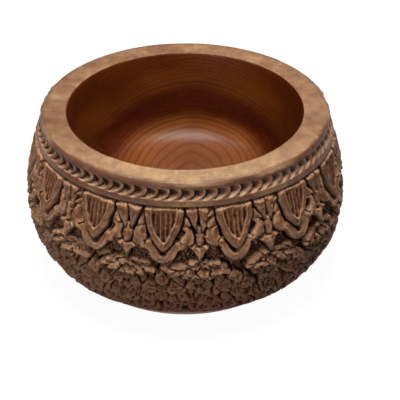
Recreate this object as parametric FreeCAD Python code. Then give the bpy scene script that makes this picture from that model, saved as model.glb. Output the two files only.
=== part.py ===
"""Carved wooden bowl, built up from four turned pieces, in millimetres.

carved_body  thick outer bowl, turned and then relief carved outside: a frieze of fluted
             tongue leaves over a band of rosettes and leaves, with a plain turned heel below
inner_bowl   smooth dished liner, glued into the recess of the body, with a thin top lip
rim_collar   flat rim ring with a row of gouged crescents and a bead; its tongue is glued
             into a groove in the top of the body
foot_ring    low ring under the body, with a tenon glued into a groove there

Frame: +Z up, origin on the axis at the resting plane. Azimuth 0 faces -Y, and grows to +X.
Heights on the carving are values of Z. Relief is cut to one ground level, and tall shapes
are left flush with the turned envelope.
"""

import FreeCAD
import Part

import math
import os

from FreeCAD import Matrix, Vector

# Overall form
HEIGHT = 135.0
BELLY_RADIUS = 125.0
BELLY_Z = 67.0
RIM_RADIUS = 111.0
MOUTH_RADIUS = 91.5
SHOULDER_ANGLE = 13.5  # of the shoulder cone from the vertical, in degrees
HEEL_RADIUS = 88.0  # where the lower curve meets the underside
FOOT_HEIGHT = 7.0
RIM_EDGE_RADIUS = 1.2

# Inside
FLOOR_DEPTH = 76.0  # of the middle of the floor, from the rim
FLOOR_CROWN_RADIUS = 320.0  # the floor is a shallow dish
WALL_LEAN = 10.0  # of the inside wall from the vertical, in degrees
COVE_RADIUS = 24.0  # between wall and floor

# Joints between the pieces
COLLAR_HEIGHT = 17.5
LIP_WIDTH = 0.4  # of the liner at the rim
LINER_RADIUS = 99.0
LINER_FLOOR = 18.0  # thickness of the liner under the middle of its floor
LINER_CORNER = 12.0
TONGUE_RADIUS = 105.0
TONGUE_WIDTH = 4.0
TONGUE_HEIGHT = 3.5
FOOT_RADIUS = 85.0
FOOT_WIDTH = 19.0
FOOT_CHAMFER = 1.5
TENON_WIDTH = 8.0
TENON_HEIGHT = 4.0

# Turned collar
GROOVE_DEPTH = 1.6
GROOVE_WIDTH = 1.2
CRESCENTS = 80
CRESCENT_Z = HEIGHT - 8.2
CRESCENT_HEIGHT = 8.6
CRESCENT_BACK = 3.1  # bulge of the inner arc of a crescent
CRESCENT_FRONT = 5.6  # bulge of its outer arc
CRESCENT_DEPTH = 2.4

# Relief carving
LEAVES = 14  # tongue leaves round the bowl
LEAF_PHASE = -7.9  # azimuth of the first one, in degrees
RELIEF = 4.5
CARVING_TOP = HEIGHT - COLLAR_HEIGHT - 1.0
CARVING_FOOT = 25.0
TONGUE_LEAF_WIDTH = 28.0
TONGUE_LEAF_LENGTH = 34.0
TONGUE_WAIST = 0.36  # half width of a tongue leaf, as a share of its top width
TONGUE_WAIST_DROP = 0.56  # where that is, as a share of its length
LEAF_BORDER = 4.4
PANEL_DEPTH = 1.6
FLUTE_RIBS = 4
RIB_WIDTH = 1.5
ROSETTE_Z = 51.0
ROSETTE_PETALS = 5
TIPS = 4  # leaf tips above the heel, in each sector
REACH = 9.0  # half the length of a cutting prism, across the surface

SECTOR = 360.0 / LEAVES
SHOULDER = math.radians(SHOULDER_ANGLE)
RIM_SETBACK = BELLY_RADIUS - RIM_RADIUS
RISE = HEIGHT - BELLY_Z
# radius of the belly arc that is upright at the belly and meets the shoulder cone
BELLY_ARC = (RISE * math.tan(SHOULDER) - RIM_SETBACK) / (
    math.tan(SHOULDER) * math.sin(SHOULDER) - (1.0 - math.cos(SHOULDER))
)
ARC_TOP_Z = BELLY_Z + BELLY_ARC * math.sin(SHOULDER)
HEEL_WIDTH = BELLY_RADIUS - HEEL_RADIUS
HEEL_DROP = BELLY_Z - FOOT_HEIGHT


def envelope(z):
    """Radius of the turned envelope at height z, and its outward normal as (radial, up)."""
    if z >= ARC_TOP_Z:
        return RIM_RADIUS + (HEIGHT - z) * math.tan(SHOULDER), (math.cos(SHOULDER), math.sin(SHOULDER))
    if z >= BELLY_Z:
        rise = z - BELLY_Z
        run = math.sqrt(BELLY_ARC**2 - rise**2)
        return BELLY_RADIUS - BELLY_ARC + run, (run / BELLY_ARC, rise / BELLY_ARC)
    drop = (BELLY_Z - z) / HEEL_DROP
    run = math.sqrt(1.0 - drop**2)
    slope = Vector(run / HEEL_WIDTH, 0, -drop / HEEL_DROP).normalize()
    return HEEL_RADIUS + HEEL_WIDTH * run, (slope.x, slope.z)


def at(radius, z):
    """Point of a turned section, in the XZ half plane."""
    return Vector(radius, 0, z)


def polyline(*points):
    return [Part.LineSegment(a, b).toShape() for a, b in zip(points, points[1:])]


def envelope_edges(top_z, foot_z, inset=0.0):
    """Edges of the turned outside from top_z down to foot_z, moved inwards by inset."""
    belly = BELLY_RADIUS - inset
    arc = BELLY_ARC - inset
    arc_end = at(belly - arc * (1 - math.cos(SHOULDER)), BELLY_Z + arc * math.sin(SHOULDER))
    top = at(arc_end.x - (top_z - arc_end.z) * math.tan(SHOULDER), top_z)
    middle = at(belly - arc * (1 - math.cos(SHOULDER / 2)), BELLY_Z + arc * math.sin(SHOULDER / 2))
    width = HEEL_WIDTH - inset
    drop = HEEL_DROP - inset

    def heel(angle):
        return at(HEEL_RADIUS + width * math.cos(angle), BELLY_Z - drop * math.sin(angle))

    last = math.asin(min(1.0, (BELLY_Z - foot_z) / drop))
    curve = Part.BSplineCurve()
    steps = 8
    curve.interpolate([heel(last * i / steps) for i in range(steps + 1)])
    return [
        Part.LineSegment(top, arc_end).toShape(),
        Part.Arc(arc_end, middle, at(belly, BELLY_Z)).toShape(),
        curve.toShape(),
    ]


def revolved(edges):
    """Solid turned from a closed section in the XZ half plane."""
    wire = Part.Wire(edges)
    return Part.Face(wire).revolve(Vector(0, 0, 0), Vector(0, 0, 1), 360)


def ring(inner, outer, low, high):
    """Plain turned ring of rectangular section."""
    corners = [at(inner, low), at(outer, low), at(outer, high), at(inner, high)]
    return revolved(polyline(*corners, corners[0]))


def turned(azimuth, shape):
    """Copy of a shape turned round the axis to another azimuth."""
    copy = shape.copy()
    copy.rotate(Vector(0, 0, 0), Vector(0, 0, 1), azimuth)
    return copy


def placed(outline, azimuth, z, low=-REACH, high=REACH, spin=0.0):
    """Prism across the surface, from a closed outline drawn with X to the right and Y up."""
    radius, (out, up) = envelope(z)
    face = Part.Face(Part.Wire(outline))
    face.rotate(Vector(0, 0, 0), Vector(0, 0, 1), spin)
    prism = face.extrude(Vector(0, 0, high - low))
    prism.translate(Vector(0, 0, low))
    right, rise, normal = Vector(1, 0, 0), Vector(0, up, out), Vector(0, -out, up)
    matrix = Matrix()
    for column, axis in enumerate((right, rise, normal), start=1):
        setattr(matrix, f"A1{column}", axis.x)
        setattr(matrix, f"A2{column}", axis.y)
        setattr(matrix, f"A3{column}", axis.z)
    matrix.A14, matrix.A24, matrix.A34 = 0.0, -radius, z
    return turned(azimuth, prism.transformGeometry(matrix))


# Outlines of the carved shapes, in their own plane


def flat(x, y):
    return Vector(x, y, 0)


def leaf(length, width, base=(0.0, 0.0), bearing=0.0):
    """Pointed leaf of two arcs, from base, along bearing in degrees from straight down."""
    turn = math.radians(bearing)
    along = flat(math.sin(turn), -math.cos(turn))
    across = flat(math.cos(turn), math.sin(turn))
    start = flat(*base)
    end = start + along * length
    widest = start + along * (0.45 * length)
    return [
        Part.Arc(start, widest + across * (width / 2), end).toShape(),
        Part.Arc(end, widest - across * (width / 2), start).toShape(),
    ]


def tongue(width, length, top):
    """Tongue leaf hanging from a straight top, with two arcs down to a pointed tip."""
    left, right = flat(-width / 2, top), flat(width / 2, top)
    tip = flat(0, top - length)
    side_x, side_y = TONGUE_WAIST * width, top - TONGUE_WAIST_DROP * length
    return [
        Part.LineSegment(left, right).toShape(),
        Part.Arc(right, flat(side_x, side_y), tip).toShape(),
        Part.Arc(tip, flat(-side_x, side_y), left).toShape(),
    ]


def disc(radius):
    return [Part.Circle(flat(0, 0), Vector(0, 0, 1), radius).toShape()]


def crescent():
    """Lune between two arcs that share their ends, bulging to the right."""
    top, foot = flat(0, CRESCENT_HEIGHT / 2), flat(0, -CRESCENT_HEIGHT / 2)
    return [
        Part.Arc(top, flat(CRESCENT_FRONT, 0), foot).toShape(),
        Part.Arc(foot, flat(CRESCENT_BACK, 0), top).toShape(),
    ]


def box_outline(width, top, foot, x):
    left, right = x - width / 2, x + width / 2
    corners = [flat(left, foot), flat(right, foot), flat(right, top), flat(left, top)]
    return polyline(*corners, corners[0])


def gap_reliefs():
    """Prisms of the shapes left standing between two tongue leaves, with the gap at azimuth 0."""
    shapes = []
    for side in (-1, 1):
        # pendant strip, leaflet of the fleur, and leaflets of the two ribbons over the flowers
        shapes.append(placed(leaf(17, 5.0, (0, 9)), side * 1.35, 109))
        shapes.append(placed(leaf(10, 4.4, (side * 1.6, 3), side * 48), 0, 88))
        shapes.append(placed(leaf(13, 5.5, (side * 1.0, 3), side * 66), 0, 76))
        shapes.append(placed(leaf(12, 4.8, (side * 1.4, -3), side * 52), 0, 70))
    shapes.append(placed(leaf(21, 5.6, (0, 12)), 0, 86))
    # leaf group between the rosettes
    for side in (-1, 0, 1):
        shapes.append(placed(leaf(15, 7.0, (0, 9)), side * 2.4, 54, spin=side * 34))
    return shapes


def leaf_reliefs():
    """Prisms of the shapes left standing round the tongue leaf at azimuth 0, and under it."""
    shapes = [fluted_tongue()]
    for side in (-1, 1):
        # leaflets beside the tongue leaf, and the V of two leaflets that cups its tip
        shapes.append(placed(leaf(13, 5.6, (side * 2, 5), side * 34), side * 7.6, 107))
        shapes.append(placed(leaf(14, 6.4, (side * 1, 5), side * 22), side * 6.6, 95))
        shapes.append(placed(leaf(15, 6.6, (side * 1, 6), side * -4), side * 4.4, 84))
        shapes.append(placed(leaf(16, 6.0, (side * 8.5, 8), side * -44), 0, 73))
    # rosette of pointed petals round a button
    for k in range(ROSETTE_PETALS):
        shapes.append(placed(leaf(11, 8.0, (0, -3.6)), 0, ROSETTE_Z, spin=k * 360 / ROSETTE_PETALS))
    shapes.append(placed(disc(3.0), 0, ROSETTE_Z))
    # overlapping leaf tips above the heel
    for k in range(TIPS):
        shapes.append(placed(leaf(15, 10.0, (0, 9)), (k + 0.5 - TIPS / 2) * SECTOR / TIPS, 33))
    return shapes


def fluted_tongue():
    """Tongue leaf with the panel inside its border sunk, all but the ribs between the flutes."""
    middle_z = CARVING_TOP - TONGUE_LEAF_LENGTH / 2
    top = TONGUE_LEAF_LENGTH / 2
    whole = placed(tongue(TONGUE_LEAF_WIDTH, TONGUE_LEAF_LENGTH, top + 1), 0, middle_z)
    width = TONGUE_LEAF_WIDTH - 2 * LEAF_BORDER
    length = TONGUE_LEAF_LENGTH - 1.7 * LEAF_BORDER
    panel = placed(tongue(width, length, top - 0.5), 0, middle_z, low=-PANEL_DEPTH)
    pitch = width / (FLUTE_RIBS + 1)
    ribs = [
        placed(box_outline(RIB_WIDTH, top, top - length, (k - (FLUTE_RIBS - 1) / 2) * pitch), 0, middle_z)
        for k in range(FLUTE_RIBS)
    ]
    return whole.cut(panel.cut(ribs))


def sector_cutter():
    """What the carver takes out of the sector whose tongue leaf is at azimuth 0."""
    outer = envelope_edges(CARVING_TOP, CARVING_FOOT, -3.0)
    inner = envelope_edges(CARVING_TOP, CARVING_FOOT, RELIEF)
    joins = polyline(outer[0].Vertexes[0].Point, inner[0].Vertexes[0].Point)
    joins += polyline(outer[-1].Vertexes[-1].Point, inner[-1].Vertexes[-1].Point)
    section = Part.Face(Part.Wire(Part.__sortEdges__(outer + inner + joins)))
    wedge = section.revolve(Vector(0, 0, 0), Vector(0, 0, 1), SECTOR)
    wedge = turned(-90 - SECTOR / 2, wedge)
    gap = gap_reliefs()
    shapes = leaf_reliefs() + [turned(side * SECTOR / 2, shape) for side in (-1, 1) for shape in gap]
    return wedge.cut(shapes)


def make_carved_body():
    collar_z = HEIGHT - COLLAR_HEIGHT
    outside = envelope_edges(collar_z, FOOT_HEIGHT)
    top = outside[0].Vertexes[0].Point
    foot = outside[-1].Vertexes[-1].Point
    edges = outside + polyline(foot, at(0, FOOT_HEIGHT), at(0, collar_z), top)
    body = turned(-90 - SECTOR / 2, revolved(edges))
    body = body.cut([liner_blank(), tongue_ring(), tenon_ring()])
    cutter = sector_cutter()
    body = body.cut([turned(k * SECTOR, cutter) for k in range(LEAVES)])
    return turned(LEAF_PHASE, body.removeSplitter())


def liner_blank():
    """Outside of the liner: a plain turned plug that widens into the lip cone at its top."""
    base_z = HEIGHT - FLOOR_DEPTH - LINER_FLOOR
    collar_z = HEIGHT - COLLAR_HEIGHT
    lip = MOUTH_RADIUS + LIP_WIDTH
    corners = [at(0, base_z), at(LINER_RADIUS - LINER_CORNER, base_z)]
    corners += [at(LINER_RADIUS, base_z + LINER_CORNER), at(LINER_RADIUS, collar_z)]
    corners += [at(lip, HEIGHT), at(0, HEIGHT)]
    return revolved(polyline(*corners, corners[0]))


def make_inner_bowl():
    lean = math.tan(math.radians(WALL_LEAN))
    floor_z = HEIGHT - FLOOR_DEPTH
    crown_z = floor_z + FLOOR_CROWN_RADIUS
    high = HEIGHT + 10.0
    low = floor_z - 10.0
    cone = [at(0, low), at(MOUTH_RADIUS - (HEIGHT - low) * lean, low)]
    cone += [at(MOUTH_RADIUS + (high - HEIGHT) * lean, high), at(0, high)]
    hollow = revolved(polyline(*cone, cone[0]))
    crown = Part.makeSphere(FLOOR_CROWN_RADIUS, Vector(0, 0, crown_z))
    hollow = hollow.common(crown)
    rims = [edge for edge in hollow.Edges if abs(edge.BoundBox.ZMax - edge.BoundBox.ZMin) < 1e-6]
    wide = [edge for edge in rims if edge.BoundBox.XLength > MOUTH_RADIUS]
    cove = min(wide, key=lambda edge: edge.BoundBox.ZMax)
    return liner_blank().cut(hollow.makeFillet(COVE_RADIUS, [cove]))


def tongue_ring():
    """Tongue under the collar, also the groove in the body."""
    collar_z = HEIGHT - COLLAR_HEIGHT
    half = TONGUE_WIDTH / 2
    return ring(TONGUE_RADIUS - half, TONGUE_RADIUS + half, collar_z - TONGUE_HEIGHT, collar_z)


def make_rim_collar():
    collar_z = HEIGHT - COLLAR_HEIGHT
    foot, rim = envelope(collar_z)[0], at(RIM_RADIUS, HEIGHT)
    corners = [at(0, collar_z), at(foot, collar_z), rim, at(0, HEIGHT)]
    collar = revolved(polyline(*corners, corners[0])).cut(liner_blank())
    top_edges = [edge for edge in collar.Edges if abs(edge.BoundBox.ZMin - HEIGHT) < 1e-6]
    outer_edge = max(top_edges, key=lambda edge: edge.BoundBox.XLength)
    collar = collar.makeFillet(RIM_EDGE_RADIUS, [outer_edge])
    groove = ring(foot - GROOVE_DEPTH, foot + 5, collar_z, collar_z + GROOVE_WIDTH)
    cut = placed(crescent(), 0, CRESCENT_Z, low=-CRESCENT_DEPTH, high=6)
    cuts = [turned(k * 360.0 / CRESCENTS, cut) for k in range(CRESCENTS)]
    return collar.cut([groove] + cuts).fuse(tongue_ring()).removeSplitter()


def tenon_ring():
    """Tenon over the foot ring, also the groove under the body."""
    middle = FOOT_RADIUS - FOOT_WIDTH / 2
    half = TENON_WIDTH / 2
    return ring(middle - half, middle + half, FOOT_HEIGHT, FOOT_HEIGHT + TENON_HEIGHT)


def make_foot_ring():
    foot = ring(FOOT_RADIUS - FOOT_WIDTH, FOOT_RADIUS, 0, FOOT_HEIGHT)
    low = [e for e in foot.Edges if e.BoundBox.ZMax < 1e-6 and len(e.Vertexes) < 2]
    foot = foot.makeChamfer(FOOT_CHAMFER, low)
    return foot.fuse(tenon_ring()).removeSplitter()


def main():
    os.makedirs("parts", exist_ok=True)
    makers = {
        "carved_body": make_carved_body,
        "inner_bowl": make_inner_bowl,
        "rim_collar": make_rim_collar,
        "foot_ring": make_foot_ring,
    }
    for node, make in makers.items():
        shape = make()
        if not shape.isValid() or not shape.Solids:
            raise RuntimeError(f"{node} isn't a valid solid")
        print(node, len(shape.Solids), "solid", round(shape.Volume / 1000), "cm3")
        shape.exportStep(os.path.join("parts", node + ".step"))


main()
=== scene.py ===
"""Carved wooden bowl: four turned pieces, with the outside carved in relief.

Lengths are in millimetres until a mesh is made. Azimuth 0 is -Y and grows to +X. On the
outside, `s` is the distance down the turned profile from the outer edge of the rim, and
relief heights are measured outwards from the turned surface.
"""

import math
import random

import bpy
import numpy as np
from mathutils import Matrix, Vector


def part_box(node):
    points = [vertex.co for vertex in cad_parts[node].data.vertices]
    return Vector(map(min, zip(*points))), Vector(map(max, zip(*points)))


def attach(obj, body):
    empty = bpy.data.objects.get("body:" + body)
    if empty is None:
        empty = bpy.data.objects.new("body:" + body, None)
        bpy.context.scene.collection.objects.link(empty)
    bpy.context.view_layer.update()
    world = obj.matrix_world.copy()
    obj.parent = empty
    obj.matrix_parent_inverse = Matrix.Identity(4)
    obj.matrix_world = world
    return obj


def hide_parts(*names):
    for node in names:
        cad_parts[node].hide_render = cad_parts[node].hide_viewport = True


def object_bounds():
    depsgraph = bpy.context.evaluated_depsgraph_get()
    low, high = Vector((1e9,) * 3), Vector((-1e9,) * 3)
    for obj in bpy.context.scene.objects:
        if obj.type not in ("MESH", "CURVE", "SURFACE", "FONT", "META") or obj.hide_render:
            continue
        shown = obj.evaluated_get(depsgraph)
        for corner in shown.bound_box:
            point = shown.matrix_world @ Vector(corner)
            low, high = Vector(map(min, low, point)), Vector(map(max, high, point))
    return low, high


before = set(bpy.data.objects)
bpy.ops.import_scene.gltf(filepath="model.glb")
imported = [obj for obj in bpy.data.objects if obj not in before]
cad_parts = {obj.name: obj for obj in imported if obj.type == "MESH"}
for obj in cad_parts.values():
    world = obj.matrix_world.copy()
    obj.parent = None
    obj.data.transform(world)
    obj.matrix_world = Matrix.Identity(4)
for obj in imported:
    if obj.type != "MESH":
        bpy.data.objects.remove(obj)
cad_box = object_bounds()

MM = 0.001
HEIGHT = cad_box[1].z / MM
BELLY = (cad_box[1].x - cad_box[0].x) / 2 / MM + 0.1
FOOT_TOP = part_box("carved_body")[0].z / MM
FOOT_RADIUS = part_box("foot_ring")[1].x / MM
COLLAR_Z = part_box("carved_body")[1].z / MM
LINER_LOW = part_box("inner_bowl")[0].z / MM
LINER_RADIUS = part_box("inner_bowl")[1].x / MM
BELLY_Z = 67.0  # height of the widest point
RIM = 111.0  # outer radius of the flat rim, before its edge is rounded
HEEL = 88.0  # radius of the body over the foot
MOUTH = 91.5  # inner radius at the rim
LIP = 0.4  # chamfer between the inside and the rim
SHOULDER = math.radians(13.5)  # lean of the outside under the rim
FLOOR_DEPTH = 76.0
FLOOR_CROWN = 320.0  # radius of the dished floor
WALL_LEAN = math.radians(10.0)
COVE = 24.0  # radius between the floor and the wall
FOOT_WIDTH = 19.0
PLUG = 87.0  # bottom radius of the recess for the inside bowl
PLUG_RISE = 12.0  # height of the recess's sloping corner
FAN = 4.0  # discs end in a fan of triangles inside this radius

# relief
ROWS = 380
COLUMNS = 1792
LEAVES = 14  # tongue leaves in the frieze
PITCH = 360.0 / LEAVES
PHASE = -7.9  # azimuth of the first tongue leaf, in degrees
GROUND = -5.8  # sunk ground of the carving
PIT = 2.6  # depth of a punched dot
COLLAR_FOOT, GROOVE_FOOT = 18.4, 19.3  # groove under the bead
FRIEZE_TOP = 18.9
FOLIAGE_TOP = 58.0
CARVING_FOOT = 121.5
HEEL_BAND = -2.8  # level of the plain band under the carving
BAND_FULL, BAND_FADE, BAND_END = 134.0, 141.0, 143.0
LEDGE_FALL = 3.6  # from the top of the frieze to the groove
LIMIT = ((0, 57, 60, 92, 106, 118, 150), (1.2, 1.2, 0.3, 0.2, -1.0, -1.8, -1.8))  # highest level along s
CRESCENTS = 80
TIP_ROWS = ((111.5, 54, -4.3), (105.5, 52, -3.9), (99.5, 48, -3.5), (93.5, 42, -3.1))  # s, count, level
LOOSE_IN_ROW = 36

# growth rings per metre, near the pith and far from it
RINGS = 450
OUTER_RINGS = 320


# ---------------------------------------------------------------- turned profile


def envelope(z):
    """Radius of the turned outside at height z."""
    rise = HEIGHT - BELLY_Z
    arc = (rise * math.tan(SHOULDER) - (BELLY - RIM)) / (
        math.tan(SHOULDER) * math.sin(SHOULDER) - (1 - math.cos(SHOULDER))
    )
    cone = RIM + (HEIGHT - z) * math.tan(SHOULDER)
    up = np.clip(z - BELLY_Z, 0, arc)
    belly = BELLY - arc + np.sqrt(arc**2 - up**2)
    drop = np.clip((BELLY_Z - z) / (BELLY_Z - FOOT_TOP), 0, 1)
    heel = HEEL + (BELLY - HEEL) * np.sqrt(1 - drop**2)
    return np.where(z >= BELLY_Z + arc * math.sin(SHOULDER), cone, np.where(z >= BELLY_Z, belly, heel))


def outside_profile():
    """Distances, radii and heights down the outside, closely spaced."""
    angle = np.linspace(0, math.pi / 2, 3000)
    lower = BELLY_Z - (BELLY_Z - FOOT_TOP) * np.sin(angle)
    z = np.concatenate([np.linspace(HEIGHT, BELLY_Z, 2000)[:-1], lower])
    r = envelope(z)
    s = np.concatenate([[0], np.cumsum(np.hypot(np.diff(r), np.diff(z)))])
    return s, r, z


# ---------------------------------------------------------------- relief


class Hand(random.Random):
    """Seeded unevenness of hand work."""

    def off(self, amount):
        return self.uniform(-amount, amount)


class Relief:
    """Height field over the outside: rows down the profile, columns round the axis."""

    def __init__(self):
        dense_s, dense_r, dense_z = outside_profile()
        self.s = np.linspace(0, dense_s[-1], ROWS)
        self.r = np.interp(self.s, dense_s, dense_r)
        self.z = np.interp(self.s, dense_s, dense_z)
        self.h = np.zeros((ROWS, COLUMNS))
        self.step = self.s[1]

    def radius(self, s):
        return float(np.interp(s, self.s, self.r))

    def stamp(self, theta, s, shape, reach, turn=0.0, cut=0.9, edge=0.45, gap=1.1, dx=0.0, lean=0.0):
        """Sets one carved shape over what is there.

        theta is an azimuth in degrees and dx a further distance round the bowl. The shape is turned
        by turn degrees and reaches no further than reach. Its edge is softened over edge, a cut line
        of depth cut and width gap runs round it, and lean raises its lower end.
        """
        r = self.radius(s)
        theta = theta + math.degrees(dx / r)
        first = max(0, int((s - reach) / self.step))
        last = min(ROWS, int((s + reach) / self.step) + 2)
        middle, spread = theta / 360 * COLUMNS, reach / r / (2 * math.pi) * COLUMNS
        cols = np.arange(math.floor(middle - spread), math.ceil(middle + spread) + 1)
        x, y = np.meshgrid((cols - middle) / COLUMNS * 2 * math.pi * r, self.s[first:last] - s)
        a = math.radians(turn)
        distance, top = shape(x * math.cos(a) - y * math.sin(a), x * math.sin(a) + y * math.cos(a))
        inside = distance < 0
        if lean and inside.any():
            top = top + lean * (y - y[inside].mean())
        window = np.ix_(np.arange(first, last), cols % COLUMNS)
        moat = np.clip(1 - np.abs(distance - gap / 2) / (gap / 2), 0, 1) * (distance > 0)
        cover = np.clip(0.5 - distance / edge, 0, 1)
        self.h[window] = (self.h[window] - cut * moat) * (1 - cover) + top * cover


def from_width(x, y, length, width):
    """Signed distance to an outline whose half width along y is the array width."""
    slope = 0
    if y.shape[0] > 1:
        slope = np.gradient(width, axis=0) / np.maximum(np.gradient(y, axis=0), 1e-6)
    across = (np.abs(x) - width) / np.sqrt(1 + np.clip(slope, -3, 3) ** 2)
    return np.maximum(across, np.maximum(-y, y - length))


def leaf(length, width, high, peak=0.4, tip=1.5, crown=1.0, cup=0.0, rib=0.0, vein=0.0, tilt=0.0,
         base=0.0, bend=0.0, wave=0.0, start=0.0, skew=0.0):
    """Leaf along +y: rounded base, pointed tip, with crown, cup, midrib, veins, tilt and skew."""

    def shape(x, y):
        y = y - start
        t = np.clip(y / length, 0, 1)
        x = x - bend * np.sin(math.pi * t) * width * 0.3
        rounded = base + (1 - base) * np.sqrt(np.clip(1 - ((peak - t) / peak) ** 2, 0, 1))
        pointed = 1 - np.clip((t - peak) / (1 - peak), 0, 1) ** tip
        half = np.where(t < peak, rounded, pointed) * width / 2
        half = half * (1 + wave * np.sin(t * 15 + high * 9))
        distance = np.maximum(np.abs(x) - half, np.maximum(-y, y - length))
        q = np.clip(np.abs(x) / np.maximum(half, 0.3), 0, 1)
        top = high - crown * q**1.15 + cup * (q**2 - 1) + rib * np.exp(-((x / 0.5) ** 2)) + tilt * (t - 0.5)
        top = top + skew * np.clip(x / (width / 2), -1, 1)
        return distance, top + vein * np.cos((y - np.abs(x) * 0.9) * 2.4) * np.clip(q * 3, 0, 1)

    return shape


def petal(width, height, high, lift, lobes):
    """Shingle with its free edge at +y, where it stands highest, and a wavy outline."""

    def shape(x, y):
        angle = np.arctan2(x, y - height * 0.35)
        scale = 1 + 0.15 * np.cos(angle * lobes)
        distance = (np.hypot(x / (width / 2), (y - height * 0.5) / (height / 2)) / scale - 1) * height / 2
        fold = np.abs((x / 3.4 + 0.15 * lobes) % 1.0 - 0.5) * 2
        top = high - lift * np.clip(1 - y / height, 0, 1.2) - 1.0 * fold * np.clip(y / height, 0.2, 1)
        return distance, top

    return shape


def button(radius, high):
    """Domed flower centre with a ring of punched dots."""
    ring = 0.6 * radius
    dots = [(0.0, 0.0)] + [(ring * math.cos(a), ring * math.sin(a)) for a in np.arange(6) * math.pi / 3]

    def shape(x, y):
        distance = np.hypot(x, y)
        top = high - 0.9 * (distance / radius) ** 2
        for dot_x, dot_y in dots:
            top = top - 1.3 * np.exp(-((x - dot_x) ** 2 + (y - dot_y) ** 2) / 0.28)
        return distance - radius, top

    return shape


def pit(radius, depth):
    """Small drilled hole."""

    def shape(x, y):
        distance = np.hypot(x, y)
        return distance - radius, np.full_like(x, depth)

    return shape


def tongue(x, y):
    """Tongue leaf: broad border, inner ridge, and a panel of flutes that end as reeds at the top."""
    length, half = 35.2, 14.4

    def width(y, length, half):
        return half * np.clip(1 - np.clip(y / length, 0, 1) ** 1.9, 0, 1) ** 0.76

    outer = from_width(x, y, length, width(y, length, half))
    inner = from_width(x, y + 3, length - 3.0, width(y, length - 7.5, half - 5.0))
    beside = np.minimum(width(y, length, half) - np.abs(x), 1.25 * (length - y))
    top = 1.5 - 1.9 * np.clip(1 - beside / 4.2, 0, 1) ** 1.5
    top = top - 0.5 * np.exp(-(((inner - 1.5) / 0.5) ** 2)) + 0.7 * np.exp(-(((inner - 0.4) / 0.45) ** 2))
    phase = (x / 3.5 + 0.5) % 1.0 - 0.5
    flute = -0.9 + 1.1 * np.abs(2 * phase) ** 1.8 + 0.5 * np.exp(-(((np.abs(phase) - 0.5) / 0.10) ** 2))
    reed = 1.3 - 1.9 * (2 * phase) ** 2
    high = np.clip(1 - y / 6, 0, 1)
    panel = np.clip(-inner / 0.45, 0, 1)
    top = top * (1 - panel) + (flute * (1 - high) + reed * high) * panel
    return outer, top - ledge(y, 1.5 + 1.3 * (1 - 4 * phase**2))


def ledge(y, depth):
    """Fall of a shape's top end, within depth, from the frieze back to the groove under the bead."""
    return LEDGE_FALL * np.clip(1 - y / depth, 0, 1)


def carve(relief):
    """All the carving on the body, from the deepest layer to the highest."""
    hand = Hand(7)
    cut_ground(relief)
    cupped_tips(relief, hand)
    loose_leaves(relief, hand)
    for k in range(LEAVES):
        under, between = PHASE + k * PITCH, PHASE + (k + 0.5) * PITCH
        beside_flowers(relief, hand, between)
        flower(relief, hand, between + hand.off(0.7), 80.0 + hand.off(1.2), 10.5, 5, -0.6, hand.off(25))
        flower(relief, hand, under + hand.off(0.5), 86.0 + hand.off(1.2), 14.5, 4, 0.0, hand.off(8))
        wavy_petals(relief, hand, between)
        lobes(relief, hand, under)
        pendants(relief, hand, between)
    punch(relief, hand)
    for k in range(LEAVES):
        theta = PHASE + k * PITCH + hand.off(0.15)
        at = FRIEZE_TOP + hand.off(0.2)
        relief.stamp(theta, at, tongue, 38, turn=hand.off(0.8), cut=2.2, gap=1.7, edge=0.5)


def cut_ground(relief):
    """Sunk ground of the carving, and the plain band drawn in under it."""
    s = relief.s[:, None]
    zone = np.clip((s - COLLAR_FOOT - 0.1) / 0.4, 0, 1) * np.clip((CARVING_FOOT - s) / 1.2, 0, 1)
    stations = (CARVING_FOOT - 1.2, CARVING_FOOT, BAND_FULL, BAND_FADE, BAND_END)
    band = np.interp(s, stations, (0, 0.6, 1, 1, 0))
    relief.h[:] = np.minimum(GROUND * zone, HEEL_BAND * band)


def cupped_tips(relief, hand):
    """Overlapping cupped leaf tips above the heel, lower rows first."""
    for row, (at_s, count, high) in enumerate(TIP_ROWS):
        for k in range(count):
            theta = PHASE + (k + 0.5 * (row % 2)) * 360 / count + hand.off(1.6)
            size = 1 + hand.off(0.18)
            at = at_s + hand.off(2.0)
            tip = leaf(11.5 * size, 10.5 * size, high + hand.off(0.6), peak=0.5, tip=2.4 + hand.off(0.6),
                       crown=-2.8, rib=1.0, base=0.3, wave=0.06, skew=hand.off(0.9))
            turn = hand.off(32)
            relief.stamp(theta, at, tip, 19, turn=turn, cut=1.0 + 3.0 * hand.random(), gap=1.6, lean=0.3)


def loose_leaves(relief, hand):
    """Loose leaves and curled petals over the foliage band, from the bottom up."""
    for at_s in np.arange(94.0, 61.0, -5.2):
        for k in range(LOOSE_IN_ROW):
            theta = PHASE + (k + hand.off(0.5)) * 360 / LOOSE_IN_ROW
            size = 1 + hand.off(0.24)
            if hand.random() < 0.6:
                shape = leaf(14.0 * size, 9.0 * size, -1.6 + hand.off(0.9), peak=0.42,
                             crown=1.6 + hand.off(0.8), rib=0.2, bend=hand.off(0.9), wave=0.08,
                             skew=hand.off(1.4))
                turn = hand.gauss(0, 60)
            else:
                shape = petal(13.0 * size, 7.0 * size, -0.2 + hand.off(0.8), 1.6, hand.choice((3, 5, 7)))
                turn = hand.gauss(0, 30)
            at, cut = at_s + hand.off(2.0), 0.8 + 3.4 * hand.random() ** 2
            relief.stamp(theta, at, shape, 18, turn=turn, cut=cut, gap=1.7, lean=0.42 + hand.off(0.2))


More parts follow.
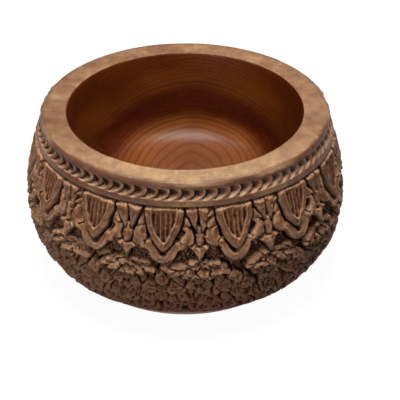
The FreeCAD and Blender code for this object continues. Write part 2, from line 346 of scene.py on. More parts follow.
def beside_flowers(relief, hand, theta):
    """Three leaves that spread from each side of a flower."""
    for side in (-1, 1):
        for dx, at_s, turn in ((4.0, 77.0, 52), (8.0, 86.0, 40), (3.0, 92.0, 14)):
            at = at_s + hand.off(1.4)
            shape = leaf(15 + hand.off(1.5), 9.5 + hand.off(1), -0.8 + hand.off(0.6), peak=0.45, crown=0.9,
                         rib=0.6, vein=0.12, base=0.2, wave=0.07, skew=hand.off(1.2))
            turn = -side * (turn + hand.off(10))
            dx = side * dx + hand.off(1.0)
            relief.stamp(theta, at, shape, 21, turn=turn, dx=dx, cut=2.8, gap=1.7, lean=0.36)


def wavy_petals(relief, hand, theta):
    """Wavy petals in arcs over the flower under a pendant."""
    # half width and height of an arc, number, width and level of its petals
    arcs = ((17.5, 8.6, 5, 14.0, -0.3), (10.0, 4.0, 3, 12.5, 0.2), (3.6, -1.0, 2, 9.0, 0.4))
    for ring, (across, down, count, width, high) in enumerate(arcs):
        for i in range(count):
            a = math.radians((i - (count - 1) / 2) * 150 / (count - 1) + hand.off(7))
            at = 69.5 - down * math.cos(a) + hand.off(0.7)
            shape = petal(width + hand.off(1.6), 5.6 + hand.off(0.8), high + hand.off(0.4), 1.6, 4 + ring)
            turn = -math.degrees(a) * 0.4 + hand.off(12)
            relief.stamp(theta, at, shape, 15, turn=turn, dx=across * math.sin(a), cut=2.0 + hand.off(1.8),
                         gap=1.6, lean=0.55)


def flower(relief, hand, theta, at_s, size, petals, high, start):
    """Rosette of grooved, pointed petals round a button, with drilled holes between them."""
    for k in range(petals):
        turn = start + k * 360 / petals + hand.off(6)
        scale = 1 + hand.off(0.09)
        shape = leaf(size * scale, size * 0.74, high, peak=0.5, tip=1.3, crown=0.1, cup=1.0, rib=0.75,
                     tilt=-0.5, base=0.15, start=1.2, wave=0.04)
        relief.stamp(theta, at_s, shape, size + 5, turn=turn, cut=3.0, gap=1.7, lean=0.25)
    for k in range(petals):
        a = math.radians(start + (k + 0.5) * 360 / petals)
        down, across = 0.36 * size * math.cos(a), -0.36 * size * math.sin(a)
        relief.stamp(theta, at_s + down, pit(1.0, -4.6), 3, dx=across)
    relief.stamp(theta, at_s, button(0.2 * size + 0.3, high), 6, turn=hand.uniform(0, 60))


def lobes(relief, hand, theta):
    """Scrolled leaf down both sides of a tongue leaf, and the V of ribbon that cups its tip."""
    for side in (-1, 1):
        # under lobe, broad main lobe, and the grooved teeth above it
        under = leaf(12.0, 7.0, -2.8, peak=0.55, crown=1.0, rib=-0.6, base=0.5, bend=side * 0.8)
        relief.stamp(theta, 43.0 + hand.off(0.6), under, 20, turn=side * 8, dx=side * 14.4, cut=1.0, gap=1.2,
                     lean=0.2)
        at = 31.5 + hand.off(0.5)
        main = leaf(22.5 + hand.off(1.0), 11.4, 0.6, peak=0.48, tip=1.8, crown=2.4, cup=-0.4, base=0.3,
                    bend=side * 1.5, skew=side * 0.6)
        relief.stamp(theta, at, main, 28, turn=-side * (19 + hand.off(3)), dx=side * 16.0, cut=1.4, gap=1.4,
                     lean=0.14)
        for dx, at_s, turn, length, width in ((12.4, 26.0, 44, 11.5, 7.0), (12.4, 21.0, 60, 9.5, 5.6)):
            at = at_s + hand.off(0.6)
            tooth = leaf(length + hand.off(0.8), width, -1.2 + hand.off(0.4), peak=0.6, tip=1.3, crown=1.6,
                         base=0.6, skew=side * 0.8)
            turn = side * (turn + hand.off(6))
            relief.stamp(theta, at, tooth, 16, turn=turn, dx=side * dx, cut=1.4, gap=1.3, lean=0.5)
    # slot cut between the right-hand scroll and the tongue
    slot = leaf(11.5, 4.0, -4.4, peak=0.4, crown=-0.6, base=0.3)
    relief.stamp(theta, 37.0 + hand.off(0.6), slot, 14, turn=-27 + hand.off(4), dx=15.4, cut=0.0, gap=0.1)
    for side in (-1, 1):
        ribbon = leaf(20.5, 6.8, -0.2, peak=0.3, tip=5.0, crown=0.7, cup=0.2, rib=-0.3, base=0.75,
                      bend=side * 0.9, skew=side * 0.9)
        relief.stamp(theta, 45.5, ribbon, 26, turn=-side * 31, dx=side * 10.4, cut=2.8, gap=1.8, lean=0.08)
    joint = leaf(7.0, 7.0, 0.0, peak=0.4, tip=1.2, crown=0.7, base=0.6)
    relief.stamp(theta, 57.5, joint, 12, cut=0.0, gap=0.1)


def pendants(relief, hand, theta):
    """Two hanging strips with the three-pointed leaf under them."""
    stem = leaf(20.0, 7.0, 0.2, peak=0.5, tip=1.3, crown=1.7, rib=0.5, base=0.5)
    relief.stamp(theta, 34.0, stem, 23, turn=hand.off(3), cut=2.8, gap=1.6)
    for side in (-1, 1):
        at = 53.5 + hand.off(0.5)
        wing = leaf(11.0 + hand.off(0.8), 6.2, 0.3, peak=0.4, tip=1.2, crown=1.6, rib=-0.5, base=0.5)
        relief.stamp(theta, at, wing, 13, turn=side * (112 + hand.off(6)), dx=-side * 1.0, cut=2.6, gap=1.4,
                     lean=0.2)
    point = leaf(11.8, 7.6, 0.4, peak=0.36, tip=1.15, crown=1.6, rib=0.6, base=0.6)
    relief.stamp(theta, 50.5, point, 15, turn=hand.off(4), cut=1.8, gap=1.2, lean=0.12)
    for side in (-1, 1):
        at = FRIEZE_TOP + hand.off(0.15)
        strip = hanging(19.5 + hand.off(1.5), 10.6, 1.3)
        relief.stamp(theta, at, strip, 22, turn=-side * 7, dx=side * 4.9, cut=2.4, gap=1.4)


def hanging(length, width, high):
    """Folded strip that hangs from a ledge and tapers to a point."""
    strip = leaf(length, width, high, peak=0.1, tip=1.2, crown=1.5, rib=-0.9, base=0.95, tilt=-1.4)

    def shape(x, y):
        distance, top = strip(x, y)
        return distance, top - ledge(y, 1.4 + 2.0 * np.clip(1 - (2 * x / width) ** 2, 0, 1))

    return shape


def punch(relief, hand):
    """Punched dots over the ground between the leaves."""
    spacing = 2.2
    for at_s in np.arange(34.0, 66.0, spacing):
        row = int(at_s / relief.step)
        count = int(2 * math.pi * relief.radius(at_s) / spacing)
        for k in range(count):
            theta = (k + hand.off(0.35)) * 360 / count
            if relief.h[row, int(theta / 360 * COLUMNS) % COLUMNS] < GROUND + 0.9:
                at = at_s + hand.off(0.7)
                relief.stamp(theta, at, pit(hand.uniform(0.6, 0.85), GROUND - PIT), 1.6, cut=0.0)


def carve_collar(relief):
    """Fillet, row of crescent gouges, bead and groove above the frieze."""
    hand = Hand(3)
    s = relief.s[:, None]
    fillet_foot, bead_top, middle, sunk = 3.4, 13.6, 8.7, 0.5
    relief.h -= sunk * np.clip((s - fillet_foot) / 0.4, 0, 1) * np.clip((bead_top - s) / 0.5, 0, 1)
    for k in range(CRESCENTS):
        theta, at = (k + hand.off(0.06)) * 360 / CRESCENTS, middle + hand.off(0.25)
        relief.stamp(theta, at, scoop(hand.uniform(0.95, 1.06)), 9, edge=0.35, cut=0.0, gap=0.1)


def scoop(scale):
    """Gouge cup, deep behind the ridge of the cup to its left, that rises to its own ridge."""
    pitch, length, half, middle = 8.9, 7.7, 4.7, -2.7

    def cup(x, y):
        return np.hypot(np.maximum(x - middle, 0) / length, (y + 0.16 * x) / half / scale)

    def shape(x, y):
        own, before = cup(x, y), cup(x + pitch, y)
        horn = np.clip((middle - x) / 4.5, 0, 1)
        distance = np.maximum((own - 1 + 0.8 * horn**2) * half, (1.24 - before) * half)
        return distance, -4.5 * (1 - own**1.7) * (1 - 0.2 * horn)

    return shape


def blur(field, sigma):
    """Gaussian blur that wraps round the axis."""
    reach = int(3 * sigma) + 1
    offsets = np.arange(-reach, reach + 1)
    weights = np.exp(-(offsets**2) / (2 * sigma**2))
    weights /= weights.sum()
    out = sum(w * np.roll(field, o, axis=1) for w, o in zip(weights, offsets))
    padded = np.pad(out, ((reach, reach), (0, 0)), mode="edge")
    return sum(w * padded[reach + o : reach + o + field.shape[0]] for w, o in zip(weights, offsets))


def facets(relief, rng, size, slope):
    """Small flat chisel cuts: the cells round jittered grid points, each tilted its own way."""
    across = int(2 * math.pi * BELLY / size)
    down = int(relief.s[-1] / size) + 3
    rows, columns = np.meshgrid(relief.s / size + 1, np.arange(COLUMNS) / COLUMNS * across, indexing="ij")
    seeds = rng.random((down, across, 2))
    tilts = rng.normal(0, slope, (down, across, 3))
    nearest = np.full(rows.shape, 9.0)
    out = np.zeros(rows.shape)
    for i in (-1, 0, 1):
        for k in (-1, 0, 1):
            row, column = np.floor(rows).astype(int) + i, np.floor(columns).astype(int) + k
            seed, tilt = seeds[row % down, column % across], tilts[row % down, column % across]
            dy, dx = rows - row - seed[..., 0], columns - column - seed[..., 1]
            distance = np.hypot(dx, dy)
            value = (tilt[..., 0] * dy + tilt[..., 1] * dx + 0.3 * tilt[..., 2]) * size
            out = np.where(distance < nearest, value, out)
            nearest = np.minimum(distance, nearest)
    return out


def tool_marks(rng):
    """Smooth noise that stands for the small unevenness of hand work."""
    out = np.zeros((ROWS, COLUMNS))
    for sigma, strength in ((1.4, 0.06), (3.5, 0.14), (14.0, 0.12)):
        noise = blur(rng.standard_normal((ROWS, COLUMNS)), sigma)
        out += noise / noise.std() * strength
    return out


# ---------------------------------------------------------------- meshes


def grid_mesh(name, points, wrap_rows=False, poles=(None, None), fields=None):
    """Mesh of a (rows, columns, 3) grid closed round the axis, in millimetres."""
    rows, columns, _ = points.shape
    verts = points.reshape(-1, 3) * MM
    index = np.arange(rows * columns).reshape(rows, columns)
    below = np.roll(index, -1, axis=0) if wrap_rows else index[1:]
    upper = index if wrap_rows else index[:-1]
    quads = np.stack([upper, below, np.roll(below, -1, axis=1), np.roll(upper, -1, axis=1)], axis=-1)
    quads = quads.reshape(-1, 4)
    triangles = []
    extra = []
    for pole, ring, order in ((poles[0], index[0], 1), (poles[1], index[-1], -1)):
        if pole is not None:
            tip = len(verts) + len(extra)
            extra.append([0, 0, pole * MM])
            pairs = np.stack([np.full(columns, tip), ring, np.roll(ring, -1)], axis=-1)
            triangles.append(pairs[:, ::order])
    if extra:
        verts = np.vstack([verts, extra])
    corners = np.concatenate([quads.ravel()] + [fan.ravel() for fan in triangles])
    counts = np.concatenate([np.full(len(quads), 4)] + [np.full(len(fan), 3) for fan in triangles])
    mesh = bpy.data.meshes.new(name)
    mesh.vertices.add(len(verts))
    mesh.vertices.foreach_set("co", verts.astype(np.float32).ravel())
    mesh.loops.add(len(corners))
    mesh.loops.foreach_set("vertex_index", corners.astype(np.int32))
    mesh.polygons.add(len(counts))
    mesh.polygons.foreach_set("loop_start", np.concatenate([[0], np.cumsum(counts)[:-1]]).astype(np.int32))
    mesh.update(calc_edges=True)
    mesh.polygons.foreach_set("use_smooth", np.ones(len(counts), bool))
    for key, values in (fields or {}).items():
        data = np.zeros(len(verts), np.float32)
        data[: rows * columns] = values.reshape(-1)
        mesh.attributes.new(key, "FLOAT", "POINT").data.foreach_set("value", data)
    mesh.update()
    piece = bpy.data.objects.new(name, mesh)
    bpy.context.scene.collection.objects.link(piece)
    return piece


def turn_profile(radii, heights, columns):
    """Grid of points from a profile turned round the axis, starting at -Y and going to +X."""
    angle = np.arange(columns) * 2 * math.pi / columns
    radii, heights = (np.asarray(a, float) for a in (radii, heights))
    if radii.ndim == 1:
        radii, heights = (np.repeat(a[:, None], columns, axis=1) for a in (radii, heights))
    return np.stack([radii * np.sin(angle), -radii * np.cos(angle), heights], axis=-1)


def subdivided(points, step):
    """Polyline with extra points, no two further apart than step."""
    out = [points[0]]
    for a, b in zip(points, points[1:]):
        n = max(1, math.ceil(math.dist(a, b) / step))
        out += [tuple(a[i] + (b[i] - a[i]) * k / n for i in range(2)) for k in range(1, n + 1)]
    return out


def full_rows(line):
    """Radii and heights of an outline, repeated round the axis."""
    r, z = np.array(line).T
    return np.repeat(r[:, None], COLUMNS, axis=1), np.repeat(z[:, None], COLUMNS, axis=1)


def displaced(relief):
    """Radii and heights of the outside, moved along its normals by the relief."""
    slope_r, slope_z = np.gradient(relief.r, relief.s), np.gradient(relief.z, relief.s)
    norm = np.hypot(slope_r, slope_z)
    out_r, out_z = -slope_z / norm, slope_r / norm
    return relief.r[:, None] + relief.h * out_r[:, None], relief.z[:, None] + relief.h * out_z[:, None]


def warped(field, rng, amount):
    """The field with its lines made a little unsteady, by up to about amount cells."""
    rows, columns = np.meshgrid(np.arange(ROWS), np.arange(COLUMNS), indexing="ij")
    shifts = []
    for _ in range(2):
        noise = blur(rng.standard_normal((ROWS, COLUMNS)), 7.0)
        shifts.append(noise / noise.std() * amount)
    rows = np.clip(rows + shifts[0], 0, ROWS - 1.001)
    columns = columns + shifts[1]
    row, column = np.floor(rows).astype(int), np.floor(columns).astype(int)
    u, v = rows - row, columns - column
    left, right = column % COLUMNS, (column + 1) % COLUMNS
    upper = field[row, left] * (1 - v) + field[row, right] * v
    lower = field[row + 1, left] * (1 - v) + field[row + 1, right] * v
    return upper * (1 - u) + lower * u


def finished_relief():
    """The carving made a little unsteady, faceted, kept under its highest level, and given its collar."""
    relief = Relief()
    carve(relief)
    relief.h = warped(relief.h, np.random.default_rng(9), 0.8)
    relief.h[relief.s < COLLAR_FOOT] = 0.0
    groove = (relief.s >= COLLAR_FOOT) & (relief.s < GROOVE_FOOT)
    relief.h[groove] = np.clip(relief.h[groove], -2.4, -1.2)
    faceted = np.clip((relief.s[:, None] - FOLIAGE_TOP) / 6, 0, 1)
    faceted = faceted * np.clip((relief.h - GROUND - 0.6) / 1.5, 0, 1)
    relief.h += faceted * np.clip(facets(relief, np.random.default_rng(21), 3.4, 0.11), -0.6, 0.5)
    limit = np.interp(relief.s, *LIMIT)[:, None]
    smaller = -0.5 * np.log(np.exp(-2 * relief.h) + np.exp(-2 * limit))
    relief.h = np.where(relief.s[:, None] > 19, smaller, relief.h)
    carve_collar(relief)
    relief.h += tool_marks(np.random.default_rng(5))
    relief.h = blur(relief.h, 0.4)
    return relief


relief = finished_relief()
outside_r, outside_z = displaced(relief)
collar_row = int(np.searchsorted(-relief.z, -COLLAR_Z))
seat = float(relief.r[collar_row]) - 5

# fields for the materials, which paint shade and highlight from them: crease is 0 in narrow hollows and 1 on
# edges, level is 0 in the deepest pits
near, wide = blur(relief.h, 2.2), blur(relief.h, 7.0)
gain = 1 + 0.8 * np.clip((relief.s[:, None] - FOLIAGE_TOP + 1) / 6, 0, 1)
crease = np.clip(0.5 + gain * (0.45 * (relief.h - near) + 0.14 * (relief.h - wide)), 0, 1)
level = np.clip((relief.h - GROUND + PIT) / (PIT - GROUND), 0, 1.3)


def sides(values, before, after, fill):
    """Field rows of the outside, with constant rows before and after for the hidden faces."""
    return np.vstack([np.full((before, COLUMNS), fill), values, np.full((after, COLUMNS), fill)])


def make_body():
    """Carved outside, flat underside and the turned recess for the inside bowl."""
    under = subdivided([(HEEL - 0.4, FOOT_TOP), (FOOT_RADIUS - FOOT_WIDTH, FOOT_TOP), (FAN, FOOT_TOP)], 6)
    recess = subdivided([
        (FAN, LINER_LOW), (PLUG, LINER_LOW), (LINER_RADIUS, LINER_LOW + PLUG_RISE), (LINER_RADIUS, COLLAR_Z),
        (seat, COLLAR_Z),
    ], 10)
    (r0, z0), (r1, z1) = full_rows(recess), full_rows(under)
    radii = np.vstack([r0, outside_r[collar_row:], r1])
    heights = np.vstack([z0, outside_z[collar_row:], z1])
    points = turn_profile(radii, heights, COLUMNS)
    fields = {
        "crease": sides(crease[collar_row:], len(recess), len(under), 0.5),
        "level": sides(level[collar_row:], len(recess), len(under), 1.0),
    }
    return grid_mesh("carved_bowl_body", points, poles=(LINER_LOW, FOOT_TOP), fields=fields)


def make_collar():
    """Flat rim with its rounded edge, the carved collar, and the hidden faces against the other pieces."""
    edge, edge_start = 1.6, RIM - 2.0
    mouth = MOUTH + LIP + 0.05
    top = subdivided([(mouth + 0.25, HEIGHT), (edge_start, HEIGHT)], 0.8)
    corner = [
        (edge_start + edge * math.sin(a), HEIGHT - edge * (1 - math.cos(a)))
        for a in np.radians(np.linspace(0, 66, 7))[1:]
    ]
    below = [(seat, COLLAR_Z), (mouth + LINER_RADIUS - MOUTH - LIP, COLLAR_Z), (mouth, HEIGHT - 0.25)]
    below = subdivided(below, 4)
    rows, skip = len(top) + len(corner), int(2.0 / relief.step)
    carved = slice(skip, collar_row + 1)
    (r0, z0), (r1, z1) = full_rows(top + corner), full_rows(below)
    radii = np.vstack([r0, outside_r[carved], r1])
    heights = np.vstack([z0, outside_z[carved], z1])
    # the top is worn a little hollow and uneven
    rng = np.random.default_rng(11)
    uneven = blur(rng.standard_normal(radii.shape), 9.0)
    worn = blur(rng.standard_normal(radii.shape), 24.0)
    heights[: rows + 6] += (0.05 * uneven / uneven.std() + 0.10 * worn / worn.std() - 0.12)[: rows + 6]
    side, outwards = np.zeros(radii.shape), np.zeros(radii.shape)
    side[rows:] = 1.0
    side[len(top) : rows] = np.linspace(0.2, 0.9, len(corner))[:, None]
    outwards[:rows] = np.clip((r0 - mouth) / (RIM - mouth), 0, 1)
    fields = {
        "crease": sides(crease[carved], rows, len(below), 0.55),
        "level": sides(level[carved], rows, len(below), 1.0),
        "side": side,
        "outwards": outwards,
    }
    return grid_mesh("rim_and_collar", turn_profile(radii, heights, COLUMNS), wrap_rows=True, fields=fields)


def cove_centre(z):
    """Radius of the cove's centre at height z, inside the wall, and how far outside the floor's arc it is."""
    r = MOUTH - (HEIGHT - z) * math.tan(WALL_LEAN) - COVE / math.cos(WALL_LEAN)
    return r, math.hypot(r, HEIGHT - FLOOR_DEPTH + FLOOR_CROWN - z) - (FLOOR_CROWN - COVE)


def make_liner():
    """Dished inside with its cove, lip and the hidden outside of the plug."""
    crown_z = HEIGHT - FLOOR_DEPTH + FLOOR_CROWN
    low, high = HEIGHT - FLOOR_DEPTH, HEIGHT
    for _ in range(60):
        middle = (low + high) / 2
        low, high = (middle, high) if cove_centre(middle)[1] > 0 else (low, middle)
    centre_r, centre_z = cove_centre(low)[0], low
    floor_angle = math.atan2(centre_r, crown_z - centre_z)
    floor = [
        (FLOOR_CROWN * math.sin(a), crown_z - FLOOR_CROWN * math.cos(a))
        for a in np.linspace(0.004, floor_angle, 70)
    ]
    cove = [
        (centre_r + COVE * math.sin(a), centre_z - COVE * math.cos(a))
        for a in np.linspace(floor_angle, math.pi / 2 - WALL_LEAN, 30)[1:]
    ]
    wall_top = MOUTH - 0.9 * math.tan(WALL_LEAN) - 0.05
    lip = [(wall_top, HEIGHT - 0.9), (MOUTH + 0.12, HEIGHT - 0.2), (MOUTH + LIP, HEIGHT - 0.12)]
    plug = [(LINER_RADIUS - 0.05, COLLAR_Z), (LINER_RADIUS - 0.05, LINER_LOW + PLUG_RISE)]
    plug = plug + [(PLUG - 0.1, LINER_LOW), (FAN, LINER_LOW)]
    line = floor + cove + subdivided([cove[-1]] + lip, 1.2)[1:] + subdivided(plug, 12)
    points = turn_profile([p[0] for p in line], [p[1] for p in line], 384)
    return grid_mesh("polished_inside", points[::-1], poles=(LINER_LOW, HEIGHT - FLOOR_DEPTH))


def make_foot():
    """Plain ring with chamfered bottom edges."""
    inner = FOOT_RADIUS - FOOT_WIDTH
    line = subdivided([
        (inner, FOOT_TOP), (inner, 0.8), (inner + 0.8, 0.0),
        (FOOT_RADIUS - 0.5, 0.0), (FOOT_RADIUS - 0.1, 0.15), (FOOT_RADIUS, 0.5), (FOOT_RADIUS, FOOT_TOP),
    ], 1.2)
    points = turn_profile([p[0] for p in line], [p[1] for p in line], 256)
    return grid_mesh("foot", points[::-1], wrap_rows=True)


# ---------------------------------------------------------------- materials


class Nodes:
    """Short way to write a node material."""

    def __init__(self, name):
        self.material = bpy.data.materials.new(name)
        self.material.use_nodes = True
        self.tree = self.material.node_tree
        self.shader = self.tree.nodes["Principled BSDF"]

    def link(self, source, target):
        self.tree.links.new(source, target)

    def new(self, kind, inputs=None, **settings):
        node = self.tree.nodes.new(kind)
        for key, value in settings.items():
            setattr(node, key, value)
        for key, value in (inputs or {}).items():
            if isinstance(value, bpy.types.NodeSocket):
                self.link(value, node.inputs[key])
            else:
                node.inputs[key].default_value = value
        return node

    def attribute(self, name):
        return self.new("ShaderNodeAttribute", attribute_name=name).outputs["Fac"]

    def place(self, scale=(1, 1, 1), rotation=(0, 0, 0), location=(0, 0, 0)):
        """The piece's own coordinates, in metres."""
        inputs = {"Scale": scale, "Rotation": rotation, "Location": location}
        inputs["Vector"] = self.new("ShaderNodeTexCoord").outputs["Object"]
        return self.new("ShaderNodeMapping", inputs).outputs[0]

    def axes(self, vector):
        return self.new("ShaderNodeSeparateXYZ", {"Vector": vector}).outputs[:3]

    def noise(self, vector, scale, detail=4.0, roughness=0.55, distortion=0.0):
        inputs = {"Vector": vector, "Scale": scale, "Detail": detail, "Roughness": roughness}
        return self.new("ShaderNodeTexNoise", {**inputs, "Distortion": distortion}).outputs["Fac"]

    def fade(self, value, start, end):
        """0 before start and 1 after end."""
        return self.new("ShaderNodeMapRange", {"Value": value, "From Min": start, "From Max": end}).outputs[0]

    def ramp(self, factor, *stops):
        node = self.new("ShaderNodeValToRGB", {"Fac": factor})
        elements = node.color_ramp.elements
        while len(elements) < len(stops):
            elements.new(0.5)
        for element, (position, colour) in zip(elements, stops):
            element.position = position
            element.color = (*colour, 1) if isinstance(colour, tuple) else (colour, colour, colour, 1)
        return node.outputs["Color"]

    def math(self, operation, a, b=0.0):
        return self.new("ShaderNodeMath", {0: a, 1: b}, operation=operation).outputs[0]

    def times(self, a, b):
        return self.math("MULTIPLY", a, b)

    def mix(self, factor, a, b, blend="MIX"):
        node = self.new("ShaderNodeMix", data_type="RGBA", blend_type=blend)
        for socket, value in ((node.inputs[0], factor), (node.inputs[6], a), (node.inputs[7], b)):
            if isinstance(value, bpy.types.NodeSocket):
                self.link(value, socket)
            else:
                socket.default_value = (*value, 1) if isinstance(value, tuple) else value
        return node.outputs[2]

    def tint(self, colour, by, factor=1.0):
        return self.mix(factor, colour, by, "MULTIPLY")

    def bump(self, height, strength, distance, normal=None):
        inputs = {"Height": height, "Strength": strength, "Distance": distance}
        if normal is not None:
            inputs["Normal"] = normal
        return self.new("ShaderNodeBump", inputs).outputs[0]

    def finish(self, colour, roughness, normal, **constants):
        self.link(colour, self.shader.inputs["Base Color"])
        self.link(roughness, self.shader.inputs["Roughness"])
        self.link(normal, self.shader.inputs["Normal"])
        for key, value in constants.items():
            self.shader.inputs[key.replace("_", " ")].default_value = value
        return self.material


def carved_colour(n):
    """Brown of the carving, with painted shade and highlight: painted shade in the hollows and deepest pits,
    a redder painted shade over the heel, and paler worn edges mixed with a painted highlight on edges and
    up-facing faces.
    """
    here = n.place()
    x, _, z = n.axes(here)
    broad = n.noise(here, 22, 3, 0.5)
    fine = n.noise(here, 160, 5, 0.6)
    base = n.ramp(
        broad,
        (0.30, (0.148, 0.044, 0.015)), (0.50, (0.215, 0.072, 0.027)), (0.70, (0.310, 0.124, 0.052)),
    )
    base = n.mix(n.times(fine, 0.32), base, (0.37, 0.170, 0.080))
    # painted shade over the heel: redder and darker towards the bottom, and lower on the left, where light
    # falls from the left front
    height = n.math("ADD", z, n.times(n.fade(x, -0.02, -0.10), 0.020))
    low = n.ramp(
        n.fade(height, 0.0065, 0.075),
        (0.0, (0.80, 0.55, 0.42)), (0.03, (0.34, 0.085, 0.036)), (0.28, (0.50, 0.205, 0.118)),
        (0.57, (0.92, 0.75, 0.65)), (1.0, (1.0, 1.0, 1.0)),
    )
    # painted shade: darker the lower the level, in the sunk ground and the deepest pits
    deep = n.ramp(
        n.attribute("level"),
        (0.08, (0.18, 0.11, 0.09)), (0.24, (0.78, 0.66, 0.58)), (0.45, (0.76, 0.66, 0.60)),
        (0.85, (1.0, 1.0, 1.0)),
    )
    creases = n.attribute("crease")
    # painted shade in narrow creases and hollows
    hollow = n.ramp(creases, (0.17, (0.07, 0.032, 0.024)), (0.46, (1.0, 1.0, 1.0)))
    base = n.tint(n.tint(n.tint(base, low), deep), hollow)
    # painted highlight on faces that look up, and on convex edges, where it is mixed with real wear; worn is
    # the mask of both
    facing = n.axes(n.new("ShaderNodeNewGeometry").outputs["Normal"])[2]
    edges, painted_top_highlight = n.ramp(creases, (0.59, 0.0), (0.88, 1.0)), n.ramp(facing, (0.46, 0.0), (0.82, 1.0))
    worn = n.times(n.math("MAXIMUM", edges, painted_top_highlight), n.ramp(fine, (0.35, 0.4), (0.6, 1.0)))
    # pale colour of the wear and the painted highlight, dimmed over the heel by the painted shade there
    pale = n.tint((0.62, 0.372, 0.215), low, 0.66)
    return n.mix(n.times(worn, 0.7), base, pale), fine, here


def carved_wood():
    """Matt brown wood with fine grain and small chips."""
    n = Nodes("carved_wood")
    # the carving's brown, with its painted shade and highlight
    colour, fine, here = carved_colour(n)
    grain = n.noise(n.place(scale=(1, 0.18, 1)), 900, 3, 0.6)
    normal = n.bump(n.noise(here, 260, 4, 0.65), 0.5, 0.0011, n.bump(grain, 0.3, 0.0003))
    return n.finish(colour, n.ramp(fine, (0.3, 0.52), (0.7, 0.76)), normal, Specular_IOR_Level=0.16)


def rim_wood():
    """Blotched tan wood on top, golden at the front, and the darker wood of the fillet and bead."""
    n = Nodes("rim_wood")
    # the carved collar takes the carving's brown, with its painted shade and highlight
    colour, fine, here = carved_colour(n)
    x, y, z = n.axes(here)
    broad = n.noise(here, 30, 5, 0.62)
    streak = n.noise(n.place(scale=(1, 0.25, 1), rotation=(0, 0, 0.1)), 260, 4, 0.6)
    mottle = n.noise(n.place(location=(0.3, 0.1, 0)), 95, 4, 0.65)
    front = n.fade(y, -0.045, -0.105)

    top = n.ramp(
        broad,
        (0.30, (0.170, 0.074, 0.036)), (0.50, (0.250, 0.129, 0.066)), (0.68, (0.335, 0.198, 0.107)),
    )
    top = n.mix(n.times(front, n.ramp(broad, (0.25, 0.35), (0.5, 0.8))), top, (0.43, 0.275, 0.148))
    top = n.mix(n.times(n.ramp(streak, (0.42, 1.0), (0.6, 0.0)), 0.35), top, (0.23, 0.11, 0.048))
    stain = n.ramp(n.noise(n.place(location=(0.5, 0.2, 0)), 26, 6, 0.75, 0.6), (0.52, 0.0), (0.68, 1.0))
    top = n.mix(n.times(stain, 0.55), top, (0.15, 0.070, 0.042))
    top = n.tint(top, n.ramp(mottle, (0.34, (0.78, 0.72, 0.66)), (0.66, (1.18, 1.19, 1.14))))
    speck = n.ramp(n.noise(n.place(location=(0.1, 0.3, 0)), 190, 4, 0.75, 0.4), (0.52, 0.0), (0.62, 1.0))
    speck = n.times(speck, n.math("ADD", n.times(n.fade(y, 0.02, 0.09), 0.35), 0.22))
    top = n.mix(speck, top, (0.11, 0.052, 0.034))
    top = n.tint(top, (0.83, 0.80, 0.78), n.fade(x, -0.06, -0.10))
    # worn patches of the outer edge
    edge = n.ramp(n.attribute("outwards"), (0.78, 0.0), (0.90, 1.0))
    edge = n.times(edge, n.ramp(n.noise(here, 34, 5, 0.7), (0.46, 0.0), (0.51, 1.0)))
    top = n.mix(n.times(edge, 0.85), top, (0.12, 0.05, 0.022))

    # skin of the fillet and bead, golden in patches and in the middle of the front
    skin = n.math("MAXIMUM", n.fade(z, 0.1312, 0.1322), n.ramp(n.attribute("level"), (0.92, 0.0), (1.0, 0.8)))
    patch = n.ramp(n.noise(n.place(location=(0.02, 0.0, 0.0)), 17, 3, 0.5), (0.48, 0.0), (0.60, 1.0))
    middle = n.fade(n.math("ABSOLUTE", n.math("SUBTRACT", x, 0.006)), 0.034, 0.008)
    middle = n.times(n.times(middle, front), n.ramp(mottle, (0.36, 0.3), (0.52, 1.0)))
    patch = n.math("MAXIMUM", patch, middle)
    colour = n.mix(skin, colour, n.mix(patch, (0.135, 0.044, 0.018), (0.310, 0.165, 0.072)))
    colour = n.mix(n.attribute("side"), top, colour)
    normal = n.bump(n.noise(here, 300, 5, 0.65), 0.25, 0.0005, n.bump(streak, 0.15, 0.0003))
    return n.finish(colour, n.ramp(fine, (0.3, 0.42), (0.7, 0.62)), normal, Specular_IOR_Level=0.4)


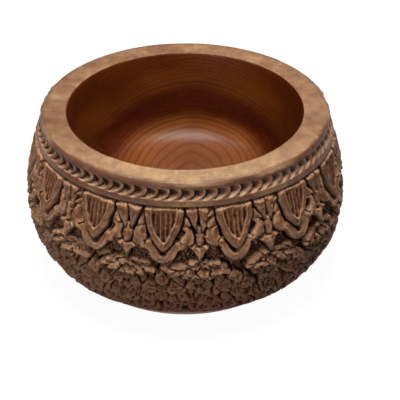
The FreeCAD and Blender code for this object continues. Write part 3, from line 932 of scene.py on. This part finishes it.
def polished_wood():
    """Growth rings of a log whose pith lies across the bowl, under its floor."""
    n = Nodes("polished_wood")
    x, _, z = n.axes(n.place(location=(-0.004, 0, 0.047), rotation=(0.0, 0.02, 0.05)))
    warp = n.math("SUBTRACT", n.noise(n.place(scale=(1, 0.4, 1)), 16, 2, 0.5), 0.5)
    across = n.math("ADD", x, n.times(warp, 0.012))
    up = n.math("ADD", z, n.times(warp, 0.006))
    distance = n.math("SQRT", n.math("ADD", n.times(across, across), n.times(up, up)))
    # rings per metre: RINGS near the pith, and fewer further out
    outer = n.math("MAXIMUM", n.math("SUBTRACT", distance, 0.118), 0.0)
    years = n.math("ADD", n.times(distance, RINGS), n.times(outer, OUTER_RINGS - RINGS))
    flat = n.new("ShaderNodeCombineXYZ", {"X": distance}).outputs[0]
    years = n.math("ADD", years, n.times(n.noise(flat, 120, 1, 0.5), 2.2))
    rings = n.ramp(n.math("FRACT", years), (0.0, 0.35), (0.13, 0.0), (0.66, 0.08), (0.90, 1.0), (1.0, 0.35))

    position = n.fade(distance, 0.100, 0.185)
    drift = n.math("SUBTRACT", n.noise(n.place(scale=(1, 0.3, 1)), 26, 3, 0.5), 0.5)
    base = n.ramp(
        n.math("ADD", position, n.times(drift, 0.11)),
        (0.0, (0.135, 0.041, 0.014)), (0.16, (0.145, 0.042, 0.013)), (0.27, (0.175, 0.048, 0.009)),
        (0.33, (0.135, 0.033, 0.005)), (0.40, (0.070, 0.008, 0.001)), (0.57, (0.066, 0.006, 0.001)),
        (0.65, (0.120, 0.028, 0.003)), (0.80, (0.128, 0.030, 0.003)), (1.0, (0.105, 0.019, 0.002)),
    )
    contrast = n.ramp(position, (0.10, 0.62), (0.35, 1.0), (0.60, 1.0), (0.8, 0.75))
    base = n.tint(base, n.ramp(n.times(rings, contrast), (0.0, (1.0, 1.0, 1.0)), (1.0, (0.48, 0.38, 0.32))))
    clouds = n.noise(n.place(scale=(1, 1, 2.6)), 24, 4, 0.6)
    base = n.tint(base, n.ramp(clouds, (0.32, (0.74, 0.68, 0.62)), (0.66, (1.22, 1.28, 1.2))))
    fibres = n.noise(n.place(scale=(1, 0.035, 1)), 1100, 3, 0.6)
    base = n.mix(n.times(n.ramp(fibres, (0.4, 0.0), (0.65, 1.0)), 0.14), base, (0.28, 0.095, 0.03))
    # painted shade: the right side of the inside is darker
    base = n.tint(base, (0.62, 0.52, 0.45), n.fade(n.axes(n.place())[0], 0.045, 0.085))
    roughness = n.ramp(fibres, (0.3, 0.32), (0.7, 0.44))
    normal = n.bump(fibres, 0.12, 0.0002, n.bump(rings, 0.10, 0.0002))
    return n.finish(base, roughness, normal, Coat_Weight=0.06, Coat_Roughness=0.22, Specular_IOR_Level=0.16)


def foot_wood():
    """Pale, bare wood."""
    n = Nodes("foot_wood")
    broad = n.noise(n.place(), 40, 4, 0.6)
    grain = n.noise(n.place(scale=(1, 0.08, 1)), 700, 3, 0.6)
    base = n.ramp(broad, (0.3, (0.74, 0.49, 0.35)), (0.7, (0.88, 0.66, 0.50)))
    base = n.mix(n.times(grain, 0.25), base, (0.48, 0.28, 0.17))
    roughness = n.ramp(broad, (0.3, 0.5), (0.7, 0.7))
    return n.finish(base, roughness, n.bump(grain, 0.3, 0.0004), Specular_IOR_Level=0.3)


for piece, node, material, slot in (
    (make_body(), "carved_body", carved_wood(), "carved_wood"),
    (make_collar(), "rim_collar", rim_wood(), "rim_wood"),
    (make_liner(), "inner_bowl", polished_wood(), "polished_wood"),
    (make_foot(), "foot_ring", foot_wood(), "foot_wood"),
):
    piece.data.materials.append(material)
    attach(piece, "root")
    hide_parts(node)


# ---------------------------------------------------------------- studio


def make_floor():
    """White stage, wide enough to fill the background, that doesn't light the bowl from below."""
    bpy.ops.mesh.primitive_plane_add(size=60, location=(0, 0, -0.0002))
    floor = bpy.context.object
    floor.name = "studio_floor"
    n = Nodes("studio_floor")
    colour = n.ramp(n.noise(n.place(), 3, 2), (0.0, (0.06, 0.06, 0.06)), (1.0, (0.07, 0.07, 0.07)))
    n.link(colour, n.shader.inputs["Base Color"])
    n.shader.inputs["Emission Color"].default_value = (1, 1, 1, 1)
    n.shader.inputs["Emission Strength"].default_value = 0.96
    n.shader.inputs["Roughness"].default_value = 0.9
    floor.data.materials.append(n.material)
    floor.visible_diffuse = False


def make_light(name, location, target, size, power):
    data = bpy.data.lights.new(name, "AREA")
    data.shape, data.size, data.energy = "DISK", size, power
    lamp = bpy.data.objects.new(name, data)
    lamp.location = location
    lamp.rotation_euler = (Vector(target) - Vector(location)).to_track_quat("-Z", "Y").to_euler()
    bpy.context.scene.collection.objects.link(lamp)


def make_camera():
    elevation, distance = math.radians(29.23), 1.38
    data = bpy.data.cameras.new("camera")
    data.sensor_width, data.lens = 36.0, 160.65
    camera = bpy.data.objects.new("camera", data)
    top = Vector((0, 0, HEIGHT * MM))
    camera.location = top + distance * Vector((0, -math.cos(elevation), math.sin(elevation)))
    aim = Vector((0.0116, 0, 0.051))
    camera.rotation_euler = (aim - camera.location).to_track_quat("-Z", "Y").to_euler()
    bpy.context.scene.collection.objects.link(camera)
    bpy.context.scene.camera = camera


make_floor()
make_light("overhead", (-0.02, -0.08, 1.25), (0, 0, 0.05), 0.8, 23.0)
make_light("window", (-0.55, 0.25, 1.05), (0, 0, 0.06), 0.2, 0.8)
make_light("front", (-0.85, -1.35, 0.36), (0, 0, 0.06), 0.55, 4.1)
make_light("back", (0.70, 1.45, 0.45), (0, 0, 0.06), 0.8, 2.6)
make_camera()

world = bpy.data.worlds.new("studio")
world.use_nodes = True
world.node_tree.nodes["Background"].inputs["Color"].default_value = (1, 1, 1, 1)
world.node_tree.nodes["Background"].inputs["Strength"].default_value = 0.055
bpy.context.scene.world = world
bpy.context.scene.view_settings.view_transform = "Standard"
